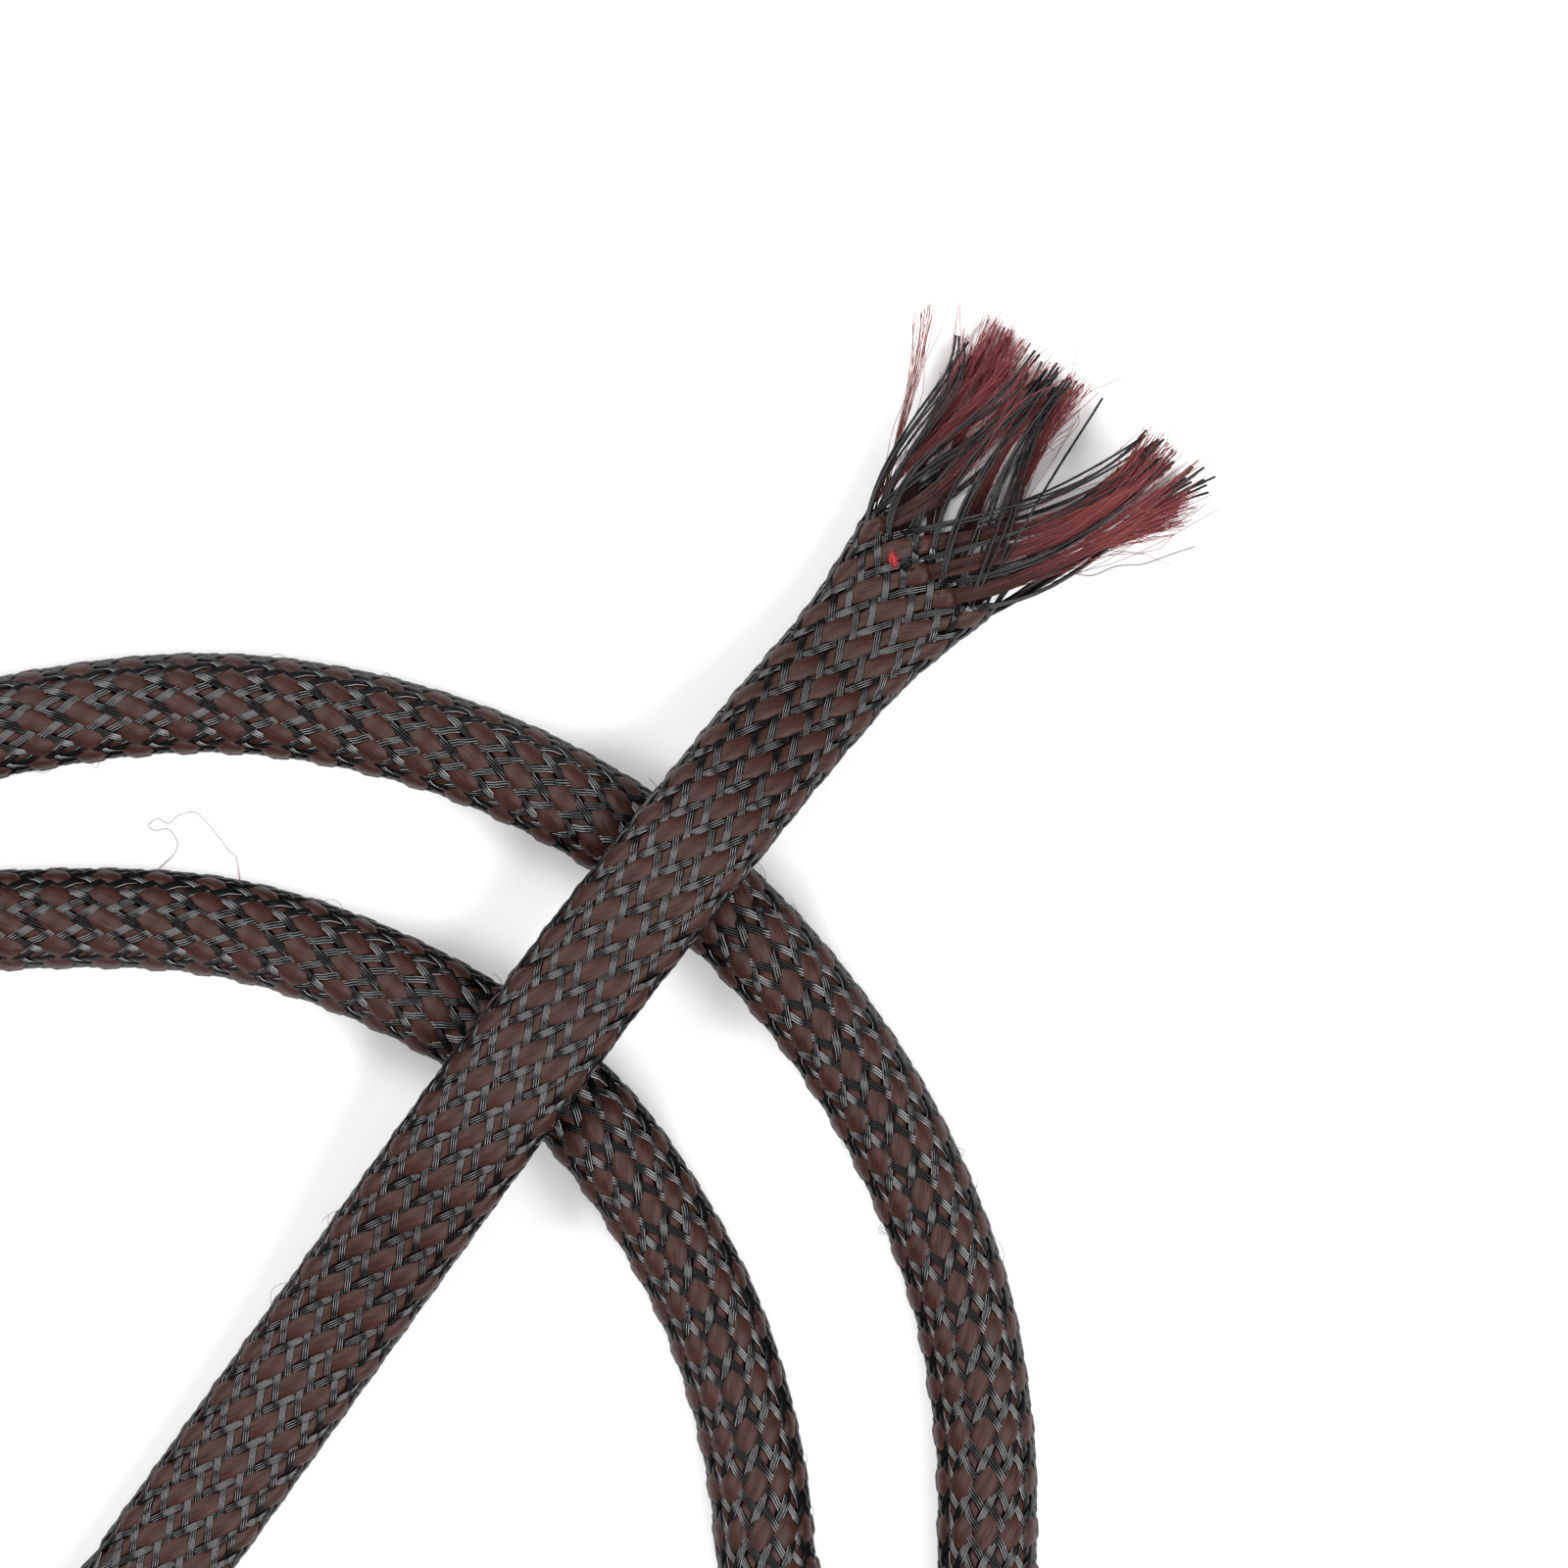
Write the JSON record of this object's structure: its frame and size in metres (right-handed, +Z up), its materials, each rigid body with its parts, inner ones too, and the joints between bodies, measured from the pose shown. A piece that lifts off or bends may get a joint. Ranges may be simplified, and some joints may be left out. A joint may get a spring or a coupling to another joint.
{
  "type": "braided cable sleeve",
  "caption": "Flexible two-tone braided cable sleeve, a hollow woven tube lying in loose turns, with one frayed end spread open and one clean cut end.",
  "frame": {"origin": "middle of the floor rectangle that the whole length covers, at floor level", "axes": "+X along the straight run towards the frayed end, +Z up from the floor that the sleeve lies on"},
  "size_m": [0.2641, 0.2129, 0.0167],
  "materials": {
    "brown_multifilament": "satin multifilament ribbon",
    "black_monofilament": "glossy drawn filament"
  },
  "bodies": {
    "root": {"braided_sleeve": "brown_multifilament"}
  },
  "joints": []
}
